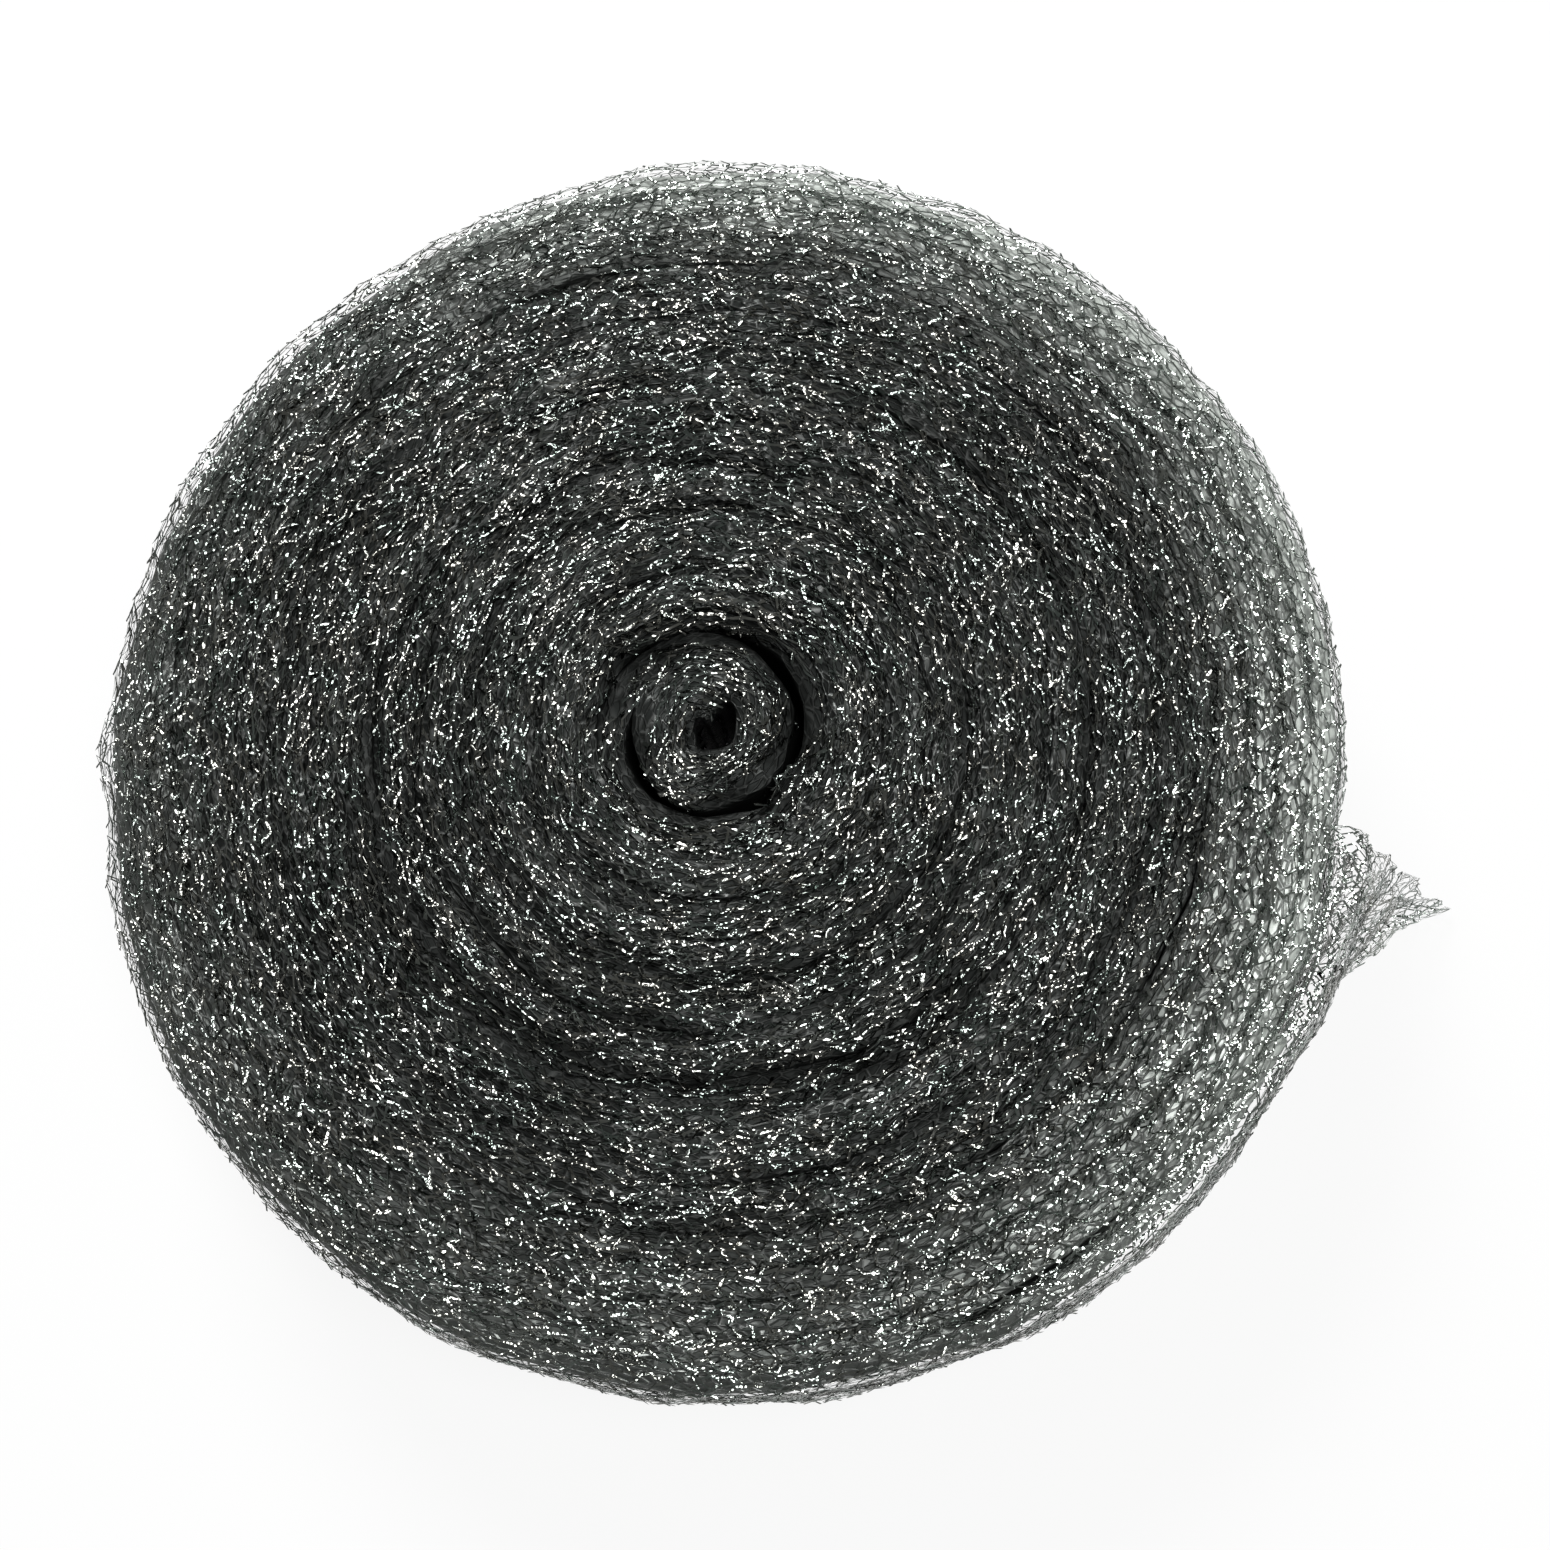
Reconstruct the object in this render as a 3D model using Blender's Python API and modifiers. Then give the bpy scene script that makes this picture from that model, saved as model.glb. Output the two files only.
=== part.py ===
"""Wound roll of knitted stainless steel scouring mesh, in metres, +Z up.

One long strip of knitted wire, flattened to two layers and wound into a spiral
on its edge. The roll stands on the strip's flat foot. The origin is the middle
of the bottom of its box, and the loose end of the strip lies towards +X.
"""
import math

import bmesh
import bpy

# Driving dimensions of the strip
STRIP_WIDTH = 0.060            # height of the roll on the table
STRIP_THICKNESS = 0.0045       # the flattened tube, as it lies in the roll
FOLD_ROUNDING = 0.0013         # how far each side of the folded upper edge is cut back
TURN_GAP = 0.0003              # space between two turns that lie tight together

# Driving dimensions of the winding
HOLE_RADIUS = 0.0031           # open middle of the roll, where the strip starts
TURN_COUNT = 23.8              # turns from the middle to the loose end
END_DIRECTION = -11.0          # degrees from +X, where the loose end is
STEPS_PER_TURN = 36

# A wider gap around the tightly wound middle
INNER_GAP = 0.0016
INNER_GAP_TURN = 2.2           # turns from the start where it begins to open
INNER_GAP_LENGTH = 0.5         # turns over which it opens

# The outer turns have worked loose towards one side
LOOSE_TURNS = 5.5              # turns at the outside that spread
LOOSE_SPREAD = 0.0074          # how far the loosest place has moved out
LOOSE_DIRECTION = -54.0        # degrees from +X
LOOSE_FOOT_REACH = 0.0037      # how much further out its foot stands there

# The turns stand a little high and low, in waves along the strip
FOLD_DROP = 0.0022             # how far below the full height the fold may lie
FOLD_WAVES = (                 # length along the strip, and start in radians
    (0.067, 0.4), (0.103, 4.0), (0.171, 4.5), (0.290, 3.9), (0.530, 2.7))

# The face of the last turn bulges between its folds
BULGE = 0.0024
BULGE_WAVES = (0.062, 0.037)   # lengths of its waves along the strip
BULGE_SLANT = 0.011            # height in which the shorter waves move on by a radian
BULGE_FOOT = 0.2               # share of the height above the foot that stays flat
BULGE_ROWS = 5                 # rows of faces from fold to foot
LAST_TURN_STEPS = 68

# The end of the strip, with its lower corner pulled out along the table
END_ARC = 17.0                 # degrees of the last turn that the pull reaches
END_REACH = 0.028              # how far the corner stands out from the fold above it
END_PULL_POWER = 2.5           # how suddenly the pull begins
END_STEP = 2.0                 # degrees between points there

STEEL_COLOUR = (0.33, 0.34, 0.33, 1.0)
STEEL_ROUGHNESS = 0.32

PITCH = STRIP_THICKNESS + TURN_GAP
FIRST_RADIUS = HOLE_RADIUS + STRIP_THICKNESS / 2


def smooth_step(value):
    """Ease from 0 to 1 as the value goes from 0 to 1."""
    value = min(max(value, 0.0), 1.0)
    return value * value * (3.0 - 2.0 * value)


def direction_of(turn):
    """Angle around the roll, in radians, this many turns from the start."""
    return math.radians(END_DIRECTION) - 2.0 * math.pi * (TURN_COUNT - turn)


def looseness(turn):
    """Share of the full spread here, from 0 in the tight roll to 1 at the loosest place."""
    along = smooth_step((turn - TURN_COUNT + LOOSE_TURNS) / (LOOSE_TURNS - 1.0))
    around = math.cos(direction_of(turn) - math.radians(LOOSE_DIRECTION))
    return along * (1.0 + around) / 2.0


def end_pull(turn):
    """Share of the pull on the strip's end, from 0 to 1 at the last edge."""
    degrees_left = 360.0 * (TURN_COUNT - turn)
    return max(1.0 - degrees_left / END_ARC, 0.0) ** END_PULL_POWER


def fold_radius(turn):
    """Radius of the folded upper edge, at the middle of the strip's thickness."""
    inner_gap = INNER_GAP * smooth_step((turn - INNER_GAP_TURN) / INNER_GAP_LENGTH)
    return FIRST_RADIUS + PITCH * turn + inner_gap + LOOSE_SPREAD * looseness(turn)


def foot_reach(turn):
    """How far the foot stands out from the fold above it."""
    loose = LOOSE_FOOT_REACH * looseness(turn)
    return loose + (END_REACH - loose) * end_pull(turn)


def wound_length(turn):
    """Length of strip wound up so far, counted as if every turn lay tight."""
    return 2.0 * math.pi * turn * (FIRST_RADIUS + PITCH * turn / 2.0)


def fold_height(turn):
    """Height of the folded upper edge, which rises and falls along the strip."""
    around = 2.0 * math.pi * wound_length(turn)
    waves = sum(math.sin(around / wave + start) for wave, start in FOLD_WAVES)
    return STRIP_WIDTH - FOLD_DROP * min(max(0.4 - waves / 4.0, 0.0), 1.0)


def bulge(turn, share):
    """How far the last turn's face stands out, this share of the way from foot to fold."""
    long_wave, short_wave = (2.0 * math.pi * wound_length(turn) / wave for wave in BULGE_WAVES)
    waves = math.sin(long_wave) + math.sin(short_wave + share * STRIP_WIDTH / BULGE_SLANT)
    on_last_turn = smooth_step((turn - TURN_COUNT + 1.0) * 10.0)
    between_folds = math.sin(math.pi * max(share - BULGE_FOOT, 0.0) / (1.0 - BULGE_FOOT)) ** 2
    return BULGE * on_last_turn * between_folds * (2.0 + waves) / 4.0


def strip_place(turn, share):
    """A point of the strip's middle surface, this share of the way from foot to fold.

    A leaning foot is raised so that its lower corner stays on the table.
    """
    reach = foot_reach(turn)
    radius = fold_radius(turn) + reach * (1.0 - share) + bulge(turn, share)
    foot_height = STRIP_THICKNESS / 2 * reach / STRIP_WIDTH
    height = foot_height + (fold_height(turn) - foot_height) * share
    angle = direction_of(turn)
    return radius * math.cos(angle), radius * math.sin(angle), height


def turns_along_strip():
    """Where the strip's points are, in turns from the start, closer together at its end."""
    turns = []
    place = 0.0
    while place < TURN_COUNT - END_ARC / 360.0:
        turns.append(place)
        place += 1.0 / (LAST_TURN_STEPS if place > TURN_COUNT - 1.0 else STEPS_PER_TURN)
    end_count = max(round(END_ARC / END_STEP), 2)
    end_steps = [1.0 - step / end_count for step in range(end_count + 1)]
    return turns[:-1] + [TURN_COUNT - END_ARC / 360.0 * step for step in end_steps]


def make_collection(name):
    collection = bpy.data.collections.new(name)
    bpy.context.scene.collection.children.link(collection)
    return collection


def steel_material():
    material = bpy.data.materials.new("knitted_steel")
    material.use_nodes = True
    shader = material.node_tree.nodes["Principled BSDF"]
    shader.inputs["Base Color"].default_value = STEEL_COLOUR
    shader.inputs["Metallic"].default_value = 1.0
    shader.inputs["Roughness"].default_value = STEEL_ROUGHNESS
    return material


def strip_surface():
    """The strip's middle surface: a long grid laid along the spiral.

    It is one face high, and has more rows only along the last turn.
    """
    turns = turns_along_strip()
    last = len(turns) - 1
    shape = bmesh.new()
    bmesh.ops.create_grid(shape, x_segments=last, y_segments=1, size=1.0)
    first = next(index for index, turn in enumerate(turns) if turn > TURN_COUNT - 1.0)
    upright = [edge for edge in shape.edges
               if edge.verts[0].co.y * edge.verts[1].co.y < 0.0
               and (edge.verts[0].co.x + 1.0) / 2.0 * last > first - 0.5]
    bmesh.ops.subdivide_edges(shape, edges=upright, cuts=BULGE_ROWS - 1, use_grid_fill=True)
    fold = {vertex for vertex in shape.verts if vertex.co.y > 0.999}
    for vertex in shape.verts:
        turn = turns[round((vertex.co.x + 1.0) / 2.0 * last)]
        vertex.co = strip_place(turn, (vertex.co.y + 1.0) / 2.0)
    weight = shape.edges.layers.float.new("bevel_weight_edge")
    for edge in shape.edges:
        edge[weight] = 1.0 if fold.issuperset(edge.verts) else 0.0
    mesh = bpy.data.meshes.new("knitted_mesh_strip")
    shape.to_mesh(mesh)
    shape.free()
    return mesh


def wound_strip(collection):
    """The whole strip: its surface given its thickness, with the fold rounded."""
    strip = bpy.data.objects.new("knitted_mesh_strip", strip_surface())
    collection.objects.link(strip)
    layers = strip.modifiers.new("two_layers", "SOLIDIFY")
    layers.thickness = STRIP_THICKNESS
    layers.offset = 0.0
    layers.use_even_offset = True
    rounding = strip.modifiers.new("fold_rounding", "BEVEL")
    rounding.limit_method = "WEIGHT"
    rounding.width = min(FOLD_ROUNDING, 0.45 * STRIP_THICKNESS, 0.45 * STRIP_WIDTH)
    rounding.segments = 1
    rounding.use_clamp_overlap = False
    strip.data.materials.append(steel_material())
    return strip


def stand_on_origin(strip):
    """Put the middle of the bottom of the box at the origin."""
    bpy.context.view_layer.update()
    evaluated = strip.evaluated_get(bpy.context.evaluated_depsgraph_get())
    places = [vertex.co.copy() for vertex in evaluated.to_mesh().vertices]
    evaluated.to_mesh_clear()
    low = [min(place[axis] for place in places) for axis in range(3)]
    high = [max(place[axis] for place in places) for axis in range(3)]
    strip.location = (-(low[0] + high[0]) / 2, -(low[1] + high[1]) / 2, -low[2])


for old in list(bpy.data.objects):
    bpy.data.objects.remove(old, do_unlink=True)

stand_on_origin(wound_strip(make_collection("knitted_mesh_scourer")))
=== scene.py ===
# %% [markdown]
# # A wound roll of knitted scouring mesh
# The object is one long tube, knitted from flat stainless wire, pressed flat to a strip and wound
# on edge into a roll. Seen from above there is nothing but wire: the folded edge of every turn.
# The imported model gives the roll's size and place. This script knits the wire that is seen.

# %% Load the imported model
import math

import bpy
import numpy as np
from mathutils import Matrix, Vector


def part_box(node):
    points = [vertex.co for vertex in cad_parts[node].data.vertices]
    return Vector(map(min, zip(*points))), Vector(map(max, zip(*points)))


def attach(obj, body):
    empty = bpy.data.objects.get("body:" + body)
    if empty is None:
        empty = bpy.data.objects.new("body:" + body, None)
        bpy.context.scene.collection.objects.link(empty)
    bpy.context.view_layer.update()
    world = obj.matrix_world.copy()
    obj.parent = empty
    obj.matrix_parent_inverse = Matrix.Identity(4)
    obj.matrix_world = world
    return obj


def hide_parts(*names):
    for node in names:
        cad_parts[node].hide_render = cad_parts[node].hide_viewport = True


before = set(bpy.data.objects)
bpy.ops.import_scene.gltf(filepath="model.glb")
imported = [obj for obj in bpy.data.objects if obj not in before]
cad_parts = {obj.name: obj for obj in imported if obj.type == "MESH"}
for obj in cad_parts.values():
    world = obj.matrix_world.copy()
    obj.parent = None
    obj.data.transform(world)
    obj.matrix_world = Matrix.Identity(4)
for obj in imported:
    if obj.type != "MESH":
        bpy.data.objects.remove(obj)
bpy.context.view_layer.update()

STRIP = "knitted_mesh_strip"
MM = 0.001

strip_low, strip_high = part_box(STRIP)

# %% [markdown]
# ## The winding
# All the wire follows one spiral, so it is worked out first: how far from the middle the strip's
# fold lies, in which direction, and how far its foot leans out. These are the sizes of the
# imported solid, in turns counted from the middle. NumPy works on all points of a piece at once.

# %% Sizes of the winding
STRIP_WIDTH = 60.0 * MM
STRIP_THICKNESS = 4.5 * MM
PITCH = 4.8 * MM
HOLE_RADIUS = 3.1 * MM
TURN_COUNT = 23.8
END_DIRECTION = math.radians(-11.0)

INNER_GAP = 1.6 * MM
INNER_GAP_TURN = 2.2
INNER_GAP_LENGTH = 0.5

LOOSE_TURNS = 5.5
LOOSE_SPREAD = 7.4 * MM
LOOSE_DIRECTION = math.radians(-54.0)
LOOSE_FOOT_REACH = 3.7 * MM

FOLD_DROP = 2.2 * MM
FOLD_WAVES = ((67.0, 0.4), (103.0, 4.0), (171.0, 4.5), (290.0, 3.9), (530.0, 2.7))

BULGE = 2.4 * MM
BULGE_WAVES = (62.0 * MM, 37.0 * MM)
BULGE_SLANT = 11.0 * MM
BULGE_FOOT = 0.2
LAST_TURN_EASE = 10.0

END_ARC_TURNS = 17.0 / 360.0
END_REACH = 28.0 * MM
END_PULL_POWER = 2.5


def smooth_step(value):
    value = np.clip(value, 0.0, 1.0)
    return value * value * (3.0 - 2.0 * value)


def direction_of(turn):
    return END_DIRECTION - 2.0 * math.pi * (TURN_COUNT - turn)


def looseness(turn):
    along = smooth_step((turn - TURN_COUNT + LOOSE_TURNS) / (LOOSE_TURNS - 1.0))
    return along * (1.0 + np.cos(direction_of(turn) - LOOSE_DIRECTION)) / 2.0


def end_pull(turn):
    return np.clip(1.0 - (TURN_COUNT - turn) / END_ARC_TURNS, 0.0, 2.0) ** END_PULL_POWER


def fold_radius(turn):
    inner_gap = INNER_GAP * smooth_step((turn - INNER_GAP_TURN) / INNER_GAP_LENGTH)
    first = HOLE_RADIUS + STRIP_THICKNESS / 2
    return first + PITCH * turn + inner_gap + LOOSE_SPREAD * looseness(turn)


def foot_reach(turn):
    loose = LOOSE_FOOT_REACH * looseness(turn)
    return loose + (END_REACH - loose) * end_pull(turn)


def wound_length(turn):
    return 2.0 * math.pi * turn * (HOLE_RADIUS + STRIP_THICKNESS / 2 + PITCH * turn / 2)


def fold_height(turn):
    around = 2.0 * math.pi * wound_length(turn)
    waves = sum(np.sin(around / (wave * MM) + start) for wave, start in FOLD_WAVES)
    return STRIP_WIDTH - FOLD_DROP * np.clip(0.4 - waves / 4.0, 0.0, 1.0)


def bulge(turn, share):
    """How far the last turn's face stands out, this share of the way from foot to fold."""
    long_wave, short_wave = (2.0 * math.pi * wound_length(turn) / wave for wave in BULGE_WAVES)
    waves = np.sin(long_wave) + np.sin(short_wave + share * STRIP_WIDTH / BULGE_SLANT)
    above_foot = np.clip(share - BULGE_FOOT, 0.0, 1.0)
    between_folds = np.sin(math.pi * above_foot / (1.0 - BULGE_FOOT)) ** 2
    on_last_turn = smooth_step((turn - TURN_COUNT + 1.0) * LAST_TURN_EASE)
    return BULGE * on_last_turn * between_folds * (2.0 + waves) / 4.0


# %% [markdown]
# The roll's middle isn't the middle of its box, because the loose end sticks out. The box of the
# packed strip and the strip's reach on its left and far sides give the place of the middle.

# %% Find the middle of the roll, and how far along the strip each turn is
SPIRAL_STEPS = 6000
HEIGHT_STEPS = 6

turn_steps = np.linspace(0.0, TURN_COUNT, SPIRAL_STEPS)
left_reach = far_reach = 0.0
for share in np.linspace(0.0, 1.0, HEIGHT_STEPS):
    outline = fold_radius(turn_steps) + foot_reach(turn_steps) * (1.0 - share)
    outline += bulge(turn_steps, share)
    outline += STRIP_THICKNESS / 2
    left_reach = max(left_reach, -(outline * np.cos(direction_of(turn_steps))).min())
    far_reach = max(far_reach, (outline * np.sin(direction_of(turn_steps))).max())
MIDDLE = np.array([strip_low.x + left_reach, strip_high.y - far_reach])

step_places = fold_radius(turn_steps)[:, None] * np.stack(
    [np.cos(direction_of(turn_steps)), np.sin(direction_of(turn_steps))], axis=1)
step_lengths = np.hypot(*np.diff(step_places, axis=0).T)
length_to_step = np.concatenate([[0.0], np.cumsum(step_lengths)])
STRIP_LENGTH = float(length_to_step[-1])
print("middle of the roll, mm:", (MIDDLE / MM).round(2), " strip, m:", round(STRIP_LENGTH, 2))


def turn_at(length):
    """The turn reached after this length of strip, also a little past either end."""
    turn = np.interp(length, length_to_step, turn_steps)
    past = np.clip(length - STRIP_LENGTH, 0.0, None)
    return turn + past / (2.0 * math.pi * fold_radius(TURN_COUNT))


# %% [markdown]
# ## The camera
# The photo looks down on the roll from near and a little to one side, so the near edge is larger
# and the hole lies above the middle of the picture. The camera's place is given from the middle
# of the top face, in the roll's own directions.

# %% Camera
CAMERA_HEIGHT = 443.0 * MM
CAMERA_OFFSET = (0.11, -0.23)
CAMERA_AIM = (14.0 * MM, -10.4 * MM)
LENS = 53.3

top_middle = Vector((*MIDDLE, STRIP_WIDTH))
camera_place = top_middle + Vector((*CAMERA_OFFSET, 1.0)) * CAMERA_HEIGHT
looking = (top_middle + Vector((*CAMERA_AIM, 0.0)) - camera_place).normalized()
right = looking.cross(Vector((0.0, 1.0, 0.0))).normalized()
camera = bpy.data.objects.new("camera", bpy.data.cameras.new("camera"))
camera.data.lens = LENS
camera.matrix_world = Matrix.Translation(camera_place) @ Matrix(
    (right, right.cross(looking), -looking)).transposed().to_4x4()
bpy.context.scene.collection.objects.link(camera)
bpy.context.scene.camera = camera
print("camera, mm:", [round(value / MM) for value in camera_place])

# %% [markdown]
# ## Shader maths
# Node trees are easier to read as sums. A `Value` holds one output socket, and + - * on it add
# the Math nodes. Every other node comes from `node`, which takes the node's type, its settings
# and what its sockets get.


# %% A small language for shaders
class Value:
    def __init__(self, tree, socket):
        self.tree = tree
        self.socket = socket

    def math(self, operation, other, swapped=False):
        inputs = (other, self) if swapped else (self, other)
        return node(self.tree, "ShaderNodeMath", {"operation": operation}, dict(enumerate(inputs)))

    def __add__(self, other):
        return self.math("ADD", other)

    __radd__ = __add__

    def __sub__(self, other):
        return self.math("SUBTRACT", other)

    def __rsub__(self, other):
        return self.math("SUBTRACT", other, swapped=True)

    def __mul__(self, other):
        return self.math("MULTIPLY", other)

    __rmul__ = __mul__


def node(tree, kind, settings=None, inputs=None, output=0):
    """Add a node: its settings first, then a number, colour or Value for each socket."""
    made = tree.nodes.new(kind)
    for name, setting in (settings or {}).items():
        setattr(made, name, setting)
    for name, value in (inputs or {}).items():
        if isinstance(value, Value):
            tree.links.new(value.socket, made.inputs[name])
        else:
            made.inputs[name].default_value = value
    return Value(tree, made.outputs[output])


def principled(name, **numbers):
    """A new material, its tree and its Principled shader with these numbers set."""
    material = bpy.data.materials.new(name)
    material.use_nodes = True
    shader = material.node_tree.nodes["Principled BSDF"]
    for socket, number in numbers.items():
        shader.inputs[socket.replace("_", " ")].default_value = number
    return material, material.node_tree, shader


def mix_colours(tree, share, first, second):
    """The Mix node's sockets 0, 6 and 7 are its share and its two colours."""
    inputs = {0: share, 6: first, 7: second}
    return node(tree, "ShaderNodeMix", {"data_type": "RGBA"}, inputs, output=2)


# %% [markdown]
# ## Floor and light
# The floor is plain and pale. To the camera, and in what the steel mirrors, most of it is plain
# white through Light Path, and the rest of it still takes the roll's shadow. Two soft round lamps
# give the glints, and an even grey world fills in.

# %% Stage
FLOOR_SIZE = 12.0
FLOOR_DROP = 0.4 * MM
FLOOR_COLOUR = (0.8, 0.8, 0.8, 1.0)
WHITE = (1.0, 1.0, 1.0, 1.0)
WHITE_SHARE = 0.87
FLOOR_ROUGHNESS = 0.9
ROOM_GREY = (0.22, 0.225, 0.22, 1.0)


def seen_directly(tree):
    """1 for rays from the camera and for those that metal or glass mirrors, 0 for the rest."""
    path = tree.nodes.new("ShaderNodeLightPath")
    camera_ray, glossy, through = [
        Value(tree, path.outputs[name]) for name in
        ("Is Camera Ray", "Is Glossy Ray", "Is Transmission Ray")]
    return camera_ray.math("MAXIMUM", glossy).math("MAXIMUM", through)


bpy.ops.mesh.primitive_plane_add(size=FLOOR_SIZE, location=(0.0, 0.0, -FLOOR_DROP))
floor = bpy.context.object
floor.name = "floor"
floor_material, tree, shader = principled(
    "pale_floor", Base_Color=FLOOR_COLOUR, Roughness=FLOOR_ROUGHNESS)
plain_white = node(tree, "ShaderNodeEmission", {}, {"Color": WHITE, "Strength": 1.0})
shaded = Value(tree, shader.outputs["BSDF"])
seen = node(tree, "ShaderNodeMixShader", {}, {
    0: seen_directly(tree) * WHITE_SHARE, 1: shaded, 2: plain_white})
tree.links.new(seen.socket, tree.nodes["Material Output"].inputs["Surface"])
floor.data.materials.append(floor_material)

world = bpy.data.worlds.new("grey_room")
bpy.context.scene.world = world
world.use_nodes = True
world.node_tree.nodes["Background"].inputs["Color"].default_value = ROOM_GREY


def lamp(name, place, size, power):
    light = bpy.data.lights.new(name, "AREA")
    light.shape = "DISK"
    light.size = size
    light.energy = power
    made = bpy.data.objects.new(name, light)
    made.location = place
    made.rotation_euler = (top_middle - Vector(place)).to_track_quat("-Z", "Y").to_euler()
    bpy.context.scene.collection.objects.link(made)


lamp("window", (-0.35, 1.1, 1.1), 0.65, 20.0)
lamp("ceiling", (0.35, -0.1, 1.6), 0.6, 15.0)
bpy.context.scene.view_settings.view_transform = "Standard"

# %% [markdown]
# ## Steel
# The wire is bright stainless steel. Drawing and rolling it flat leaves it a little uneven, so its
# colour and polish drift slightly, with faint green and brown where the light catches it. It is
# also kinked and dented all over, and the Bump node gives those dents their small glints.
#
# Each point of the wire carries two numbers, which are worked out further down: "light", how much
# light reaches it, and "pale", how pale it looks at the loose rim. The colour is mixed by them, as
# painted shade where little light reaches and as painted light that makes the loose rim paler.

# %% Steel finish
STEEL_DARK = (0.10, 0.108, 0.10, 1.0)
STEEL_LIGHT = (0.37, 0.385, 0.37, 1.0)
# Painted light: the paler colour the steel is given at the loose rim, where light comes through.
PAINTED_RIM_LIGHT_STEEL = (0.50, 0.55, 0.51, 1.0)
# Painted shade: the near black that the steel and the band behind it are given where no light
# reaches.
PAINTED_SHADE_COLOUR = (0.005, 0.0055, 0.005, 1.0)
STEEL_WARM = (0.27, 0.25, 0.22, 1.0)
STEEL_COOL = (0.17, 0.22, 0.20, 1.0)
TINT_SHARE = 0.4
PALE_SHARE = 0.8
PATCH_SHARE = 0.6
GRAIN_SHARE = 0.4
COLOUR_RANGE = (0.38, 0.62)
TINT_RANGE = (0.4, 0.6)
GRAIN_RANGE = (0.35, 0.65)
WIRE_ROUGHNESS = (0.08, 0.18)
PATCH_SCALE = 90.0
TINT_SCALE = 140.0
GRAIN_SCALE = 420.0
DENT_SCALE = 760.0
DENT_DEPTH = 0.5 * MM


def noise(tree, place, scale, detail):
    inputs = {"Vector": place, "Scale": scale, "Detail": detail}
    return node(tree, "ShaderNodeTexNoise", {}, inputs)


def point_value(tree, name, output=2):
    """A value kept in the mesh for each point: output 2 is a number, output 1 a vector."""
    return node(tree, "ShaderNodeAttribute", {"attribute_name": name}, output=output)


def spread(tree, value, low, high, to_low=0.0, to_high=1.0):
    """Stretch the values between low and high to the whole range that is wanted."""
    return node(tree, "ShaderNodeMapRange", {}, {0: value, 1: low, 2: high, 3: to_low, 4: to_high})


def steel_material():
    material, tree, shader = principled("wire_steel", Metallic=1.0)
    place = node(tree, "ShaderNodeTexCoord", output=3)
    patches = noise(tree, place, PATCH_SCALE, 2.0)
    tint = noise(tree, place, TINT_SCALE, 1.0)
    grain = noise(tree, place, GRAIN_SCALE, 2.0)
    drift = spread(tree, patches * PATCH_SHARE + grain * GRAIN_SHARE, *COLOUR_RANGE)
    base = mix_colours(tree, drift, STEEL_DARK, STEEL_LIGHT)
    hue = mix_colours(tree, spread(tree, tint, *TINT_RANGE), STEEL_COOL, STEEL_WARM)
    # Painted shade and painted light: the colour goes toward near black where "light" is low, and
    # toward the pale colour where "pale" is high at the loose rim.
    light = point_value(tree, "light")
    pale = point_value(tree, "pale")
    tinted = mix_colours(tree, TINT_SHARE, base, hue)
    lit = mix_colours(tree, pale * PALE_SHARE, tinted, PAINTED_RIM_LIGHT_STEEL)
    colour = mix_colours(tree, light, PAINTED_SHADE_COLOUR, lit)
    roughness = spread(tree, grain, *GRAIN_RANGE, *WIRE_ROUGHNESS)
    dents = node(tree, "ShaderNodeBump", {}, {
        "Strength": 1.0, "Distance": DENT_DEPTH, "Height": noise(tree, place, DENT_SCALE, 1.0)})
    tree.links.new(colour.socket, shader.inputs["Base Color"])
    tree.links.new(roughness.socket, shader.inputs["Roughness"])
    tree.links.new(dents.socket, shader.inputs["Normal"])
    return material


wire_steel = steel_material()
print("nodes of the steel:", len(wire_steel.node_tree.nodes))

# %% [markdown]
# ## One course of wire
# A knitted tube is made of courses. In each the wire runs once round the tube and swings back and
# forth along it, so that its loops hook through those of the next course. One course is drawn
# here as a curve, with the wire's flat section as its bevel object. The twist of the flat wire
# differs at each bend, and that is what makes it glint, so a few versions are drawn.

# %% Sizes of the mesh
FOLD_HALF = 2.25 * MM
FOLD_RISE = 1.2 * MM
FOLD_CURVE = math.pi / 2 * math.sqrt((FOLD_HALF ** 2 + FOLD_RISE ** 2) / 2)
SIDE_HEIGHT = STRIP_WIDTH - 2 * FOLD_RISE
TUBE_ROUND = 2 * SIDE_HEIGHT + 4 * FOLD_CURVE

STITCHES_ROUND = 48
STITCH_ACROSS = TUBE_ROUND / STITCHES_ROUND
STITCH_ALONG = 4.0 * MM
LOOP_SWING = 3.4 * MM
LOOP_OVERHANG = 1.3
LOOP_DEPTH = 0.45 * MM
print("stitch, mm:", STITCH_ALONG / MM, "by", round(STITCH_ACROSS / MM, 2))

# %% Draw one course
WIRE_WIDTH = 0.38 * MM
WIRE_DEPTH = 0.09 * MM
POINTS_PER_STITCH = 6
HEAD_SHARE = 2.1
OPEN_HEAD_SHARE = 1.1
END_HEAD_SHARE = 1.5
LEG_SHARE = 0.7
TWIST = math.radians(30.0)
SLACK = 0.28 * MM
WELD_DISTANCE = 0.001 * MM
VERSIONS = 10
SEED_STEP = 1000


def points_of(mesh):
    flat = np.empty(len(mesh.vertices) * 3)
    mesh.vertices.foreach_get("co", flat)
    return flat.reshape(-1, 3)


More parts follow.
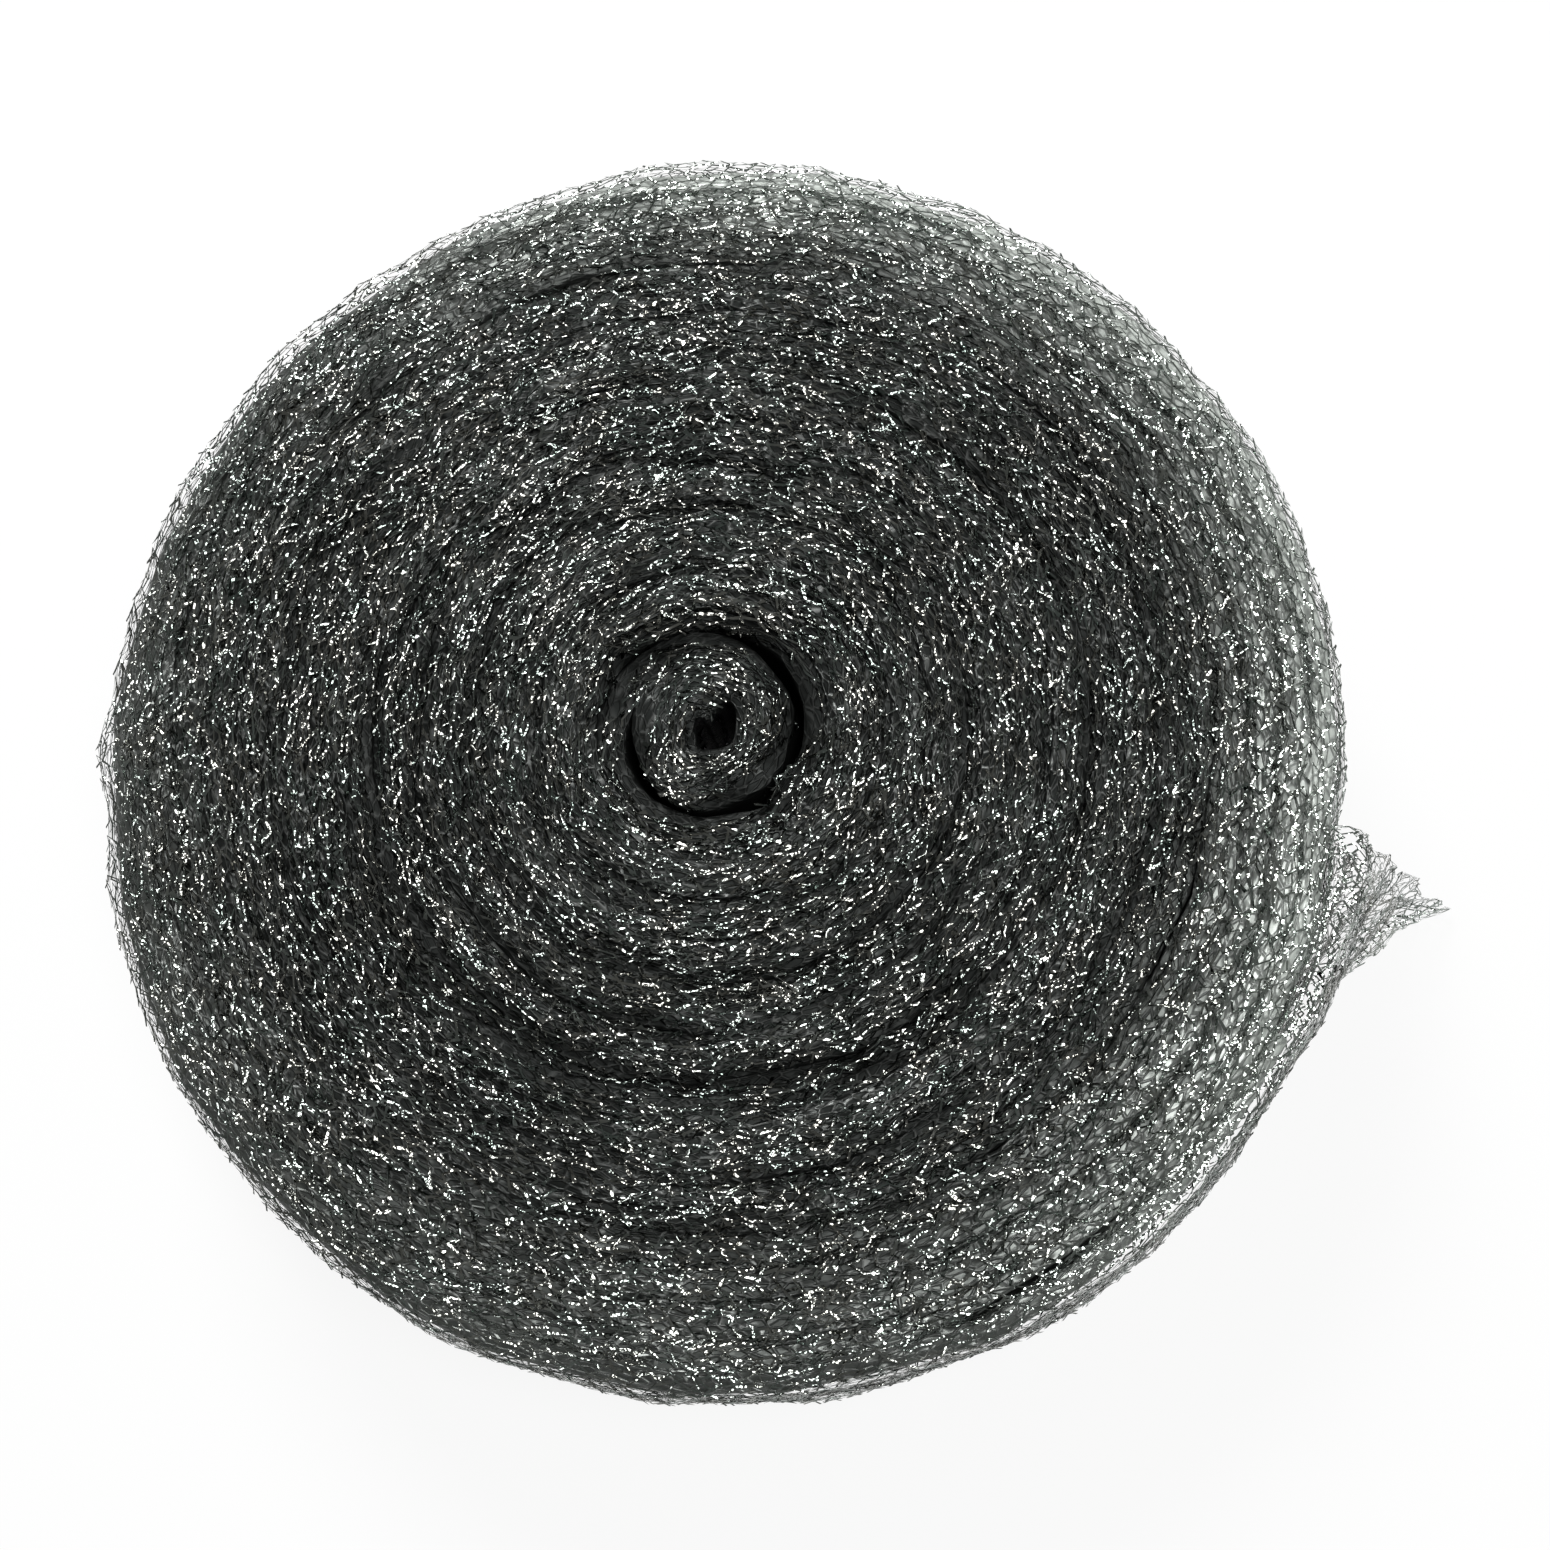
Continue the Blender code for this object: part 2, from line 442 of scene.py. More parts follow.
def wire_section():
    """The wire's section, its flat side towards the outside of the tube."""
    data = bpy.data.curves.new("wire_section", "CURVE")
    data.dimensions = "2D"
    data.fill_mode = "NONE"
    spline = data.splines.new("POLY")
    half = WIRE_WIDTH / 2
    outline = [(half, WIRE_DEPTH / 3), (0.0, -WIRE_DEPTH * 2 / 3), (-half, WIRE_DEPTH / 3)]
    spline.points.add(len(outline) - 1)
    for point, (x, y) in zip(spline.points, outline):
        point.co = (x, y, 0.0, 1.0)
    spline.use_cyclic_u = True
    section = bpy.data.objects.new("wire_section", data)
    bpy.context.scene.collection.objects.link(section)
    return section


def one_course(stitches, stitch_across, head_share, version, section):
    """The wire of one course, laid flat: x across the fold, y along the strip, z outwards."""
    chance = np.random.default_rng(SEED_STEP * stitches + version)
    count = stitches * POINTS_PER_STITCH + 1
    phase = np.linspace(0.0, 2.0 * math.pi * stitches, count)
    across = (phase + LOOP_OVERHANG * np.sin(2.0 * phase)) * stitch_across / (2.0 * math.pi)
    across -= stitches * stitch_across / 2
    along = LOOP_SWING * np.cos(phase)
    outwards = LOOP_DEPTH * np.cos(2.0 * phase)
    places = np.stack([across, along, outwards], axis=1)
    places += chance.normal(0.0, SLACK, (count, 3))
    data = bpy.data.curves.new("course", "CURVE")
    data.dimensions = "3D"
    data.twist_mode = "Z_UP"
    data.bevel_mode = "OBJECT"
    data.bevel_object = section
    data.use_fill_caps = True
    spline = data.splines.new("POLY")
    spline.points.add(count - 1)
    at_head = np.cos(phase) ** 2
    tilts = chance.normal(0.0, TWIST, count)
    for point, place, tilt, head in zip(spline.points, places, tilts, at_head):
        point.co = (*place, 1.0)
        point.tilt = tilt
        point.radius = LEG_SHARE + (head_share - LEG_SHARE) * head
    course = bpy.data.objects.new("course", data)
    bpy.context.scene.collection.objects.link(course)
    bpy.ops.object.select_all(action="DESELECT")
    course.select_set(True)
    bpy.context.view_layer.objects.active = course
    bpy.ops.object.convert(target="MESH")
    bpy.ops.object.mode_set(mode="EDIT")
    bpy.ops.mesh.select_all(action="SELECT")
    bpy.ops.mesh.remove_doubles(threshold=WELD_DISTANCE)
    bpy.ops.mesh.quads_convert_to_tris()
    bpy.ops.mesh.normals_make_consistent(inside=False)
    bpy.ops.object.mode_set(mode="OBJECT")
    mesh = course.data
    corners = np.empty(len(mesh.polygons) * 3, dtype=np.int32)
    mesh.polygons.foreach_get("vertices", corners)
    bpy.data.objects.remove(course)
    return points_of(mesh), corners.reshape(-1, 3)


def draw_courses(*shape):
    """The versions of a course: their points, and the triangles between the points."""
    section = wire_section()
    drawn = [one_course(*shape, version, section) for version in range(VERSIONS)]
    bpy.data.objects.remove(section)
    return [np.stack(parts) for parts in zip(*drawn)]


# %% [markdown]
# ## Laying the courses on the strip
# A flat course is wrapped round the flattened tube, and the tube follows the spiral. Each turn is
# as thick as the room between its neighbours. Nothing in the real roll is even: turns stand a
# little high or low and lean on each other, and the mesh is crumpled. Sums of smooth waves, with
# seeded directions, give that without any jump.

# %% Unevenness
TURN_WANDER = 0.7 * MM
TURN_RISE = 0.5 * MM
CRUMPLE = 0.5 * MM
END_RUFFLE = 1.2 * MM
END_CRUMPLE = 1.5
RING_CRUMPLE = 0.8
END_HEM = 4.0 * MM
RIM_FLUFF = 0.6 * MM

WAVE_SEED = 7
CRUMPLE_SIZES = ((4.0, 0.5), (5.0, 0.5), (7.0, 0.6), (9.0, 0.7), (14.0, 0.8), (22.0, 0.9))
WAVES_PER_SIZE = 3
TURN_WAVE_LENGTHS = np.geomspace(12.0, 120.0, 16)

waves = np.random.default_rng(WAVE_SEED)
CRUMPLE_WAVES = [
    (waves.normal(0.0, 1.0, 3) / (size * MM) * 2.0, waves.uniform(0.0, 2.0 * math.pi, 3), share)
    for size, share in CRUMPLE_SIZES
    for _ in range(WAVES_PER_SIZE)
]
TURN_WAVES = [
    (2.0 * math.pi / (length * MM), waves.uniform(0.0, 2.0 * math.pi, 2))
    for length in TURN_WAVE_LENGTHS
]
print("waves:", len(CRUMPLE_WAVES), "that crumple,", len(TURN_WAVES), "along the turns")


def crumple(places):
    moved = np.zeros_like(places)
    for wave, phase, share in CRUMPLE_WAVES:
        moved += share * np.sin((places @ wave)[:, None] + phase)
    return moved * CRUMPLE / 2.0


def turn_unevenness(length):
    """How far a turn wanders sideways and stands high, each between about -1 and 1."""
    wander = sum(np.sin(length * rate + phase[0]) for rate, phase in TURN_WAVES)
    rise = sum(np.sin(length * rate + phase[1]) for rate, phase in TURN_WAVES)
    return wander / 4.0, rise / 4.0


# %% [markdown]
# ## Gaps and light
# The turns don't lie equally close. Some gaps are wider and show as dark rings, as in the photo.
# Each is given by the turns where it begins and ends, and by how many mm it takes from the room
# on each of its sides.

# %% Where gaps between turns are wider than elsewhere
OPEN_GAPS = (
    (-1.0, 0.1, 0.6), (1.2, 2.45, 0.9), (1.7, 2.25, 0.2), (5.0, 5.8, 0.6), (8.0, 9.0, 0.8),
    (10.0, 10.9, 0.8), (12.2, 12.8, 1.1), (13.3, 14.1, 0.8), (16.1, 17.0, 0.7), (18.4, 19.3, 0.6))
GAP_EASE = 8.0


def open_gap(turn):
    """How much wider than elsewhere the gap outside this turn is, on each of its sides."""
    parts = [
        width * MM * smooth_step((turn - first) * GAP_EASE) * smooth_step((last - turn) * GAP_EASE)
        for first, last, width in OPEN_GAPS]
    return sum(parts)


print("wide gap at turns 5 and 5.4, mm:",
      [round(float(open_gap(at)) / MM, 2) for at in (5.0, 5.4)])

# %% [markdown]
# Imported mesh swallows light. The loops and the bands behind them are fewer layers than the real
# ones, so they would be too bright. Each point therefore gets a number for the light that reaches
# it, and the steel is darker where that is low: deep below a fold, at a turn's faces, most of all
# beside a wide gap, and on turns that stand low. At the loose rim light comes through from
# outside, and a second number makes the steel paler there, more so on the side where the turns
# stand apart. Both were set by comparing renders with the photo.

# %% How much light reaches the wire
LIT_DEPTH = 1.2 * MM
DARK_DEPTH = 5.0 * MM
DEEP_LIGHT = 0.2
EDGE_SHADE = 0.12
GAP_SHADE = 0.4
GAP_DEPTH = 2.0 * MM
SHADE_LIMIT = 0.95
LOW_TURN_SHADE = 0.2
LOW_TURN_SLOPE = 0.7
OPEN_TURNS = 1.6
OPEN_TURNS_EASE = 4.0

PALE_DEPTH = 12.0 * MM
PALE_FADE = 0.85
PALE_POWER = 1.6
PALE_LEAST = 0.15
PALE_MOST = 0.85
PALE_END_TURNS = 0.6
RIM_LIGHT_DIRECTION = math.radians(30.0)
RIM_LIGHT_FROM = 0.35
RIM_LIGHT_RANGE = 0.5


def light_inside(turn, depth, side):
    """Share of the light that gets past the other turns, this deep below a fold.

    side goes from -1 at a turn's inner face to 1 at its outer one.
    """
    among_turns = 1.0 - smooth_step((turn - TURN_COUNT + OPEN_TURNS) * OPEN_TURNS_EASE)
    gap = open_gap(np.where(side > 0.0, turn, turn - 1.0)) / MM
    at_face = smooth_step(2.0 * np.abs(side) - 1.0) * among_turns
    shaded = at_face * np.clip(EDGE_SHADE + GAP_SHADE * gap, 0.0, SHADE_LIMIT)
    below_light = depth + GAP_DEPTH * shaded - LIT_DEPTH
    deep = smooth_step(below_light / (DARK_DEPTH - LIT_DEPTH)) * among_turns
    rise = turn_unevenness(np.interp(turn, turn_steps, length_to_step))[1]
    low_turn = smooth_step(0.5 - LOW_TURN_SLOPE * rise)
    from_above = 1.0 - (1.0 - DEEP_LIGHT) * deep
    return from_above * (1.0 - shaded) * (1.0 - LOW_TURN_SHADE * low_turn)


def loose_light(turn):
    """1 where the outer turns stand most apart and let light through, 0 on the other side."""
    facing = (1.0 + np.cos(direction_of(turn) - RIM_LIGHT_DIRECTION)) / 2.0
    return smooth_step((facing - RIM_LIGHT_FROM) / RIM_LIGHT_RANGE)


def rim_paleness(turn, outwards, depth):
    """How pale the loose outer turns are, this share of a turn outwards of their middle and this
    deep below a fold.
    """
    loose_from = turn + outwards - TURN_COUNT + LOOSE_TURNS
    to_rim = np.clip(loose_from / (LOOSE_TURNS - PALE_END_TURNS), 0.0, 1.0)
    near_fold = 1.0 - PALE_FADE * smooth_step(depth / PALE_DEPTH)
    return to_rim ** PALE_POWER * (PALE_LEAST + PALE_MOST * loose_light(turn)) * near_fold


print("light 0, 3 and 6 mm below the fold of turn 11.5:",
      [round(float(light_inside(11.5, below * MM, 0.0)), 2) for below in (0.0, 3.0, 6.0)])

# %% [markdown]
# ## Room for each turn
# The wide gap round the middle pushes the turns outside it outwards and closer together, and the
# turns beside it stand a little lower. Each turn takes up the room that its neighbours and the
# wide gaps leave it. Down at the table the bands behind the wire take up the gaps as well, so that
# no floor is seen through them.

# %% How much room a turn has
RING_PUSH = 2.4 * MM
RING_PUSH_TURN = 2.0
RING_PUSH_EASE = 2.0
RING_PUSH_FADES_FROM = 2.5
RING_PUSH_FADES_OVER = 7.0
RING_SINK = 1.0 * MM
RING_TURNS = (1.1, 3.5)
RING_EASE = 4.0
OUTER_TURNS = 1.1
END_ROOM = 2.0 * MM


def outermost(turn):
    """1 along the last turn, 0 on the others."""
    return smooth_step((turn - TURN_COUNT + OUTER_TURNS) * LAST_TURN_EASE)


def beside_ring(turn):
    """1 along the turns on both sides of the wide gap round the middle, 0 on the others."""
    first, last = RING_TURNS
    return smooth_step((turn - first) * RING_EASE) * smooth_step((last - turn) * RING_EASE)


def ring_push(turn):
    """How far the wide gap pushes the turns outside it outwards, closer together."""
    pushed = smooth_step((turn - RING_PUSH_TURN) * RING_PUSH_EASE + 0.5)
    faded = smooth_step((turn - RING_PUSH_FADES_FROM) / RING_PUSH_FADES_OVER)
    return RING_PUSH * pushed * (1.0 - faded)


def strip_radius(turn, share):
    """Radius of the strip's middle, this share of the way from foot to fold."""
    return fold_radius(turn) + ring_push(turn) + foot_reach(turn) * (1.0 - share)


def room_beside(turn, outer_side):
    """The room for a turn on its outer or its inner side: half the way to the next turn, less
    its part of a wide gap.
    """
    other = np.where(outer_side, turn + 1.0, turn - 1.0)
    spread_out = LOOSE_SPREAD * np.abs(looseness(other) - looseness(turn))
    fluff = RIM_FLUFF * outermost(turn) * outer_side
    gap = open_gap(np.where(outer_side, turn, turn - 1.0))
    end_room = END_ROOM * end_pull(turn) * (1.0 - outer_side)
    return (PITCH + spread_out) / 2.0 + fluff + end_room - gap


def foot_room(turn, outer_side):
    """The room at the foot: half the whole way to the next turn, so that every gap is closed."""
    other = turn + (1.0 if outer_side else -1.0)
    apart = np.abs(strip_radius(other, 0.0) - strip_radius(turn, 0.0))
    has_other = (other > 0.0) & (other < TURN_COUNT)
    return np.where(has_other, apart / 2.0, room_beside(turn, outer_side))


def place_at(turn, radius, height):
    direction = direction_of(turn)
    return np.stack([MIDDLE[0] + radius * np.cos(direction),
                     MIDDLE[1] + radius * np.sin(direction), height], axis=1)


print("room outside turns 5 and 5.4, mm:",
      [round(float(room_beside(at, True)) / MM, 2) for at in (5.0, 5.4)])

# %% [markdown]
# ## Wrapping the courses
# The way round the flattened tube starts on top of the upper fold. It goes over the fold, down one
# side and half round the lower fold, and the other side is its mirror image. Towards the strip's
# cut end the loops get smaller, like a hem.

# %% Wrap a course round the strip
HEM_LEAST = 0.1
LAST_TURN_CALM = 0.5
LAST_TURN_SMOOTH = 0.4
RUFFLE_SLANT = 3.0             # mm of height for one radian of the ruffle
FLOOR_CLEARANCE = 0.1 * MM
foot_stretch_steps = np.gradient(foot_reach(turn_steps), length_to_step)


def lay_on_strip(start, swing, around, outwards):
    """Places, light and paleness of points given by their course's start, their swing from it
    along the strip, their way round the tube and how far they stand out of it.
    """
    around = (around + TUBE_ROUND / 2) % TUBE_ROUND - TUBE_ROUND / 2
    way = np.abs(around)
    upper = np.clip(way / FOLD_CURVE, 0.0, 1.0) * math.pi / 2
    lower = np.clip((way - FOLD_CURVE - SIDE_HEIGHT) / FOLD_CURVE, 0.0, 1.0) * math.pi / 2
    down = np.clip(way - FOLD_CURVE, 0.0, SIDE_HEIGHT)
    sideways = np.sign(around) * np.sin(upper) * np.cos(lower)
    upwards = np.cos(upper) - np.sin(lower)
    share = 1.0 - (FOLD_RISE * (1.0 - np.cos(upper) + np.sin(lower)) + down) / STRIP_WIDTH
    spacing = 1.0 / np.hypot(1.0, np.interp(start, length_to_step, foot_stretch_steps))
    hem = np.clip((STRIP_LENGTH - start) / spacing / END_HEM, HEM_LEAST, 1.0)
    swing = swing * spacing * hem
    length = np.minimum(start + swing, STRIP_LENGTH)
    turn = turn_at(length)
    wander, rise = turn_unevenness(length)
    calm = 1.0 - LAST_TURN_CALM * outermost(turn)
    outwards = outwards * calm
    radius = strip_radius(turn, share) + bulge(turn, share)
    radius += room_beside(turn, around > 0.0) * sideways + outwards * sideways
    radius += TURN_WANDER * wander * share * calm
    radius += END_RUFFLE * end_pull(turn) * np.sin(share * STRIP_WIDTH / MM / RUFFLE_SLANT)
    height = (fold_height(turn) - RING_SINK * beside_ring(turn)) * share + outwards * upwards
    height += TURN_RISE * rise * np.clip(2.0 * share - 1.0, 0.0, 1.0)
    places = place_at(turn, radius, height)
    loose = END_CRUMPLE * end_pull(turn) + RING_CRUMPLE * beside_ring(turn)
    loose -= LAST_TURN_SMOOTH * outermost(turn)
    places += crumple(places) * (1.0 + loose)[:, None]
    places[:, 2] = np.clip(places[:, 2], FLOOR_CLEARANCE, None)
    depth = FOLD_RISE * (1.0 - np.abs(upwards)) + np.minimum(down, SIDE_HEIGHT - down)
    return places, light_inside(turn, depth, sideways), rim_paleness(turn, sideways / 2.0, depth)


# %% [markdown]
# A piece is knitted from its courses at once. Each course takes one of the drawn versions by a
# seeded draw.

# %% Knit one piece
SHARP_BEND = math.radians(50.0)


def set_values(mesh, name, kind, values):
    """Keep a number or a vector for each point of a mesh."""
    attribute = mesh.attributes.new(name, kind, "POINT")
    attribute.data.foreach_set("vector" if kind == "FLOAT_VECTOR" else "value", values.ravel())


def knit(name, stitches, middle_way, starts, stitch_across=STITCH_ACROSS, head_share=HEAD_SHARE):
    """One piece: a course at each start along the strip, centred on this way round it."""
    versions = draw_courses(stitches, stitch_across, head_share)
    chosen = np.random.default_rng(len(starts) + stitches).integers(0, VERSIONS, len(starts))
    points, triangles = versions[0][chosen], versions[1][chosen]
    start = np.repeat(starts, points.shape[1])
    across, swing, outwards = points.reshape(-1, 3).T
    places, light, pale = lay_on_strip(start, swing, across + middle_way, outwards)
    triangles = triangles + (np.arange(len(starts)) * points.shape[1])[:, None, None]
    mesh = bpy.data.meshes.new(name)
    mesh.from_pydata(places, [], triangles.reshape(-1, 3))
    set_values(mesh, "light", "FLOAT", light)
    set_values(mesh, "pale", "FLOAT", pale)
    mesh.shade_smooth()
    mesh.set_sharp_from_angle(angle=SHARP_BEND)
    mesh.materials.append(wire_steel)
    piece = bpy.data.objects.new(name, mesh)
    bpy.context.scene.collection.objects.link(piece)
    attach(piece, "root")
    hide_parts(STRIP)
    print(name, "courses:", len(starts), "triangles:", len(mesh.polygons))


# %% [markdown]
# ## The two ends of the strip
# The last turn is open mesh, and its far side is seen through the near one, so its courses go all
# the way round the tube. At its end the foot is pulled out along the table, and the courses are
# set so that their spacing is even along the foot. The last of them lie closer and closer
# together and make the hem of the cut end.

# %% Knit the last turn
END_TURNS = 1.05
END_STITCHES = 34
END_COURSES = 21
END_FIRST = 0.3 * MM
END_GROWTH = 1.8
END_ALONG = 3.0 * MM
LAST_TURN_PIECES = 2

whole_from = float(np.interp(TURN_COUNT - END_TURNS, turn_steps, length_to_step))
foot_path = np.hypot(np.gradient(length_to_step), np.gradient(foot_reach(turn_steps))).cumsum()
path_from, path_to = np.interp([whole_from, STRIP_LENGTH], length_to_step, foot_path)
end_spacing = np.minimum(END_FIRST * END_GROWTH ** np.arange(END_COURSES), END_ALONG)
end_path = path_to - np.cumsum(end_spacing)
last_path = np.arange(end_path[-1] - STITCH_ALONG, path_from, -STITCH_ALONG)
end_starts, last_starts = (
    np.interp(path[::-1], foot_path, length_to_step) for path in (end_path, last_path))
for number, starts in enumerate(np.array_split(last_starts, LAST_TURN_PIECES), start=1):
    knit(f"last_turn_wire_{number}", STITCHES_ROUND, 0.0, starts, head_share=OPEN_HEAD_SHARE)
knit("loose_end_wire", END_STITCHES, 0.0, end_starts, TUBE_ROUND / END_STITCHES, END_HEAD_SHARE)
last_even = float(last_starts[0])

# %% [markdown]
# The inner end lines the hole, where it is seen down its whole side.

# %% Knit the inner end
INNER_END_LENGTH = 40.0 * MM

even_starts = np.arange(last_even - STITCH_ALONG, 0.0, -STITCH_ALONG)[::-1]
inner_starts = even_starts[even_starts < INNER_END_LENGTH]
knit("inner_end_wire", STITCHES_ROUND, 0.0, inner_starts)
even_starts = even_starts[len(inner_starts):]

# %% [markdown]
# ## The wire that is seen
# From above, only the loops that go over each fold can be seen. They are knitted in three lengths
# of the strip.

# %% Knit the folds
FOLD_STITCHES = 5
FOLD_PIECES = 3

for number, starts in enumerate(np.array_split(even_starts, FOLD_PIECES), start=1):
    knit(f"fold_wire_{number}", FOLD_STITCHES, 0.0, starts)

# %% [markdown]
# Underneath, the strip's other fold rests on the table.

# %% Knit the foot
FOOT_STITCHES = 1
knit("foot_wire", FOOT_STITCHES, TUBE_ROUND / 2, even_starts)

# %% [markdown]
# ## The wire behind
# Between the outer loops the eye meets the layers behind, ever darker. They are too many to knit,
# so a spiral band fills each turn a little below its wire, with a pattern of strands and beads.
# Its darkness is painted shade, and its paleness at the loose rim is painted light. Its points
# keep three values: their way along the strip, so that the strands follow the turns, how much
# light reaches them, and how pale they are at the loose rim.

# %% Dark layers
# Painted shade and painted light: the first colour is the dark between the packed layers, where
# light doesn't reach, and the pale one is the loose rim, where light comes through.
SHADED_LAYERS = (0.018, 0.02, 0.019, 1.0)
LAYERS_LIGHT = (0.30, 0.31, 0.30, 1.0)
PAINTED_RIM_LIGHT_LAYERS = (0.60, 0.64, 0.60, 1.0)
STRAND_SCALE = 800.0
STRAND_STRETCH = 2.5
BEAD_SCALE = 620.0
STRAND_RANGE = (0.16, 0.02)
BEAD_RANGE = (0.6, 0.0)
STRAND_LIGHT = 0.55
BEAD_LIGHT = 0.25
PATCH_RANGE = (0.3, 0.7)
PATCH_LIGHT = (0.3, 1.0)
PALE_BETWEEN_STRANDS = 0.6
STRAND_HEIGHT = 0.4
PATTERN_DEPTH = 0.5 * MM
LAYERS_METALLIC = 0.9
LAYERS_ROUGHNESS = (0.8, 0.3)


def cells(tree, way, scale, settings):
    return node(tree, "ShaderNodeTexVoronoi", settings, {"Vector": way, "Scale": scale})


def dark_layers():
    material, tree, shader = principled("wire_behind")
    way = point_value(tree, "way", output=1)
    light = point_value(tree, "light")
    pale = point_value(tree, "pale")
    edges = cells(tree, way, STRAND_SCALE, {"feature": "DISTANCE_TO_EDGE"})
    strands = spread(tree, edges, *STRAND_RANGE)
    beads = spread(tree, cells(tree, way, BEAD_SCALE, {}), *BEAD_RANGE)
    patches = spread(tree, noise(tree, way, PATCH_SCALE, 2.0), *PATCH_RANGE, *PATCH_LIGHT)
    # Painted shade: strands and beads are darkened where little light reaches. Painted light makes
    # the band paler at the loose rim.
    shade = (strands * STRAND_LIGHT + beads * BEAD_LIGHT) * light * patches
    colour = mix_colours(tree, shade, SHADED_LAYERS, LAYERS_LIGHT)
    colour = mix_colours(tree, light, PAINTED_SHADE_COLOUR, colour)
    colour = mix_colours(
        tree, pale * (1.0 - strands * PALE_BETWEEN_STRANDS), colour, PAINTED_RIM_LIGHT_LAYERS)
    height = strands * STRAND_HEIGHT + beads * beads
    bump = node(tree, "ShaderNodeBump", {}, {
        "Strength": 1.0, "Distance": PATTERN_DEPTH, "Height": height})
    metallic = LAYERS_METALLIC - pale * LAYERS_METALLIC
    roughness = spread(tree, light, 0.0, 1.0, *LAYERS_ROUGHNESS)
    tree.links.new(colour.socket, shader.inputs["Base Color"])
    tree.links.new(metallic.socket, shader.inputs["Metallic"])
    tree.links.new(roughness.socket, shader.inputs["Roughness"])
    tree.links.new(bump.socket, shader.inputs["Normal"])
    return material


wire_behind = dark_layers()
print("nodes of the layers behind:", len(wire_behind.node_tree.nodes))

# %% [markdown]
# The band is a long grid laid along the spiral and thickened to almost the whole room of each
# turn, with rounded edges. Along the last turn it is thick only at the fold. Down the side it is
# thin and lies close to the turn inside it, so that the open mesh can be seen, and it tapers off
# before the loose end.

# %% Packed wire inside the turns
BAND_ROUNDING = 1.0 * MM
BAND_TOP_DROP = 2.2 * MM
BAND_SHADE_DEPTH = 4.5 * MM
BAND_FOOT = 1.0 * MM
BAND_STEPS = 40
BAND_SHARE = 0.92
BAND_CORNER = math.radians(60.0)
BAND_END_EASE = 8.0
BAND_END_LEAST = 0.1
RIM_BAND_SHARE = 0.9
RIM_BAND_SIDE_SHARE = 0.2
RIM_BAND_SINK = 2.0 * MM
RIM_BAND_FREE_TURNS = 0.05


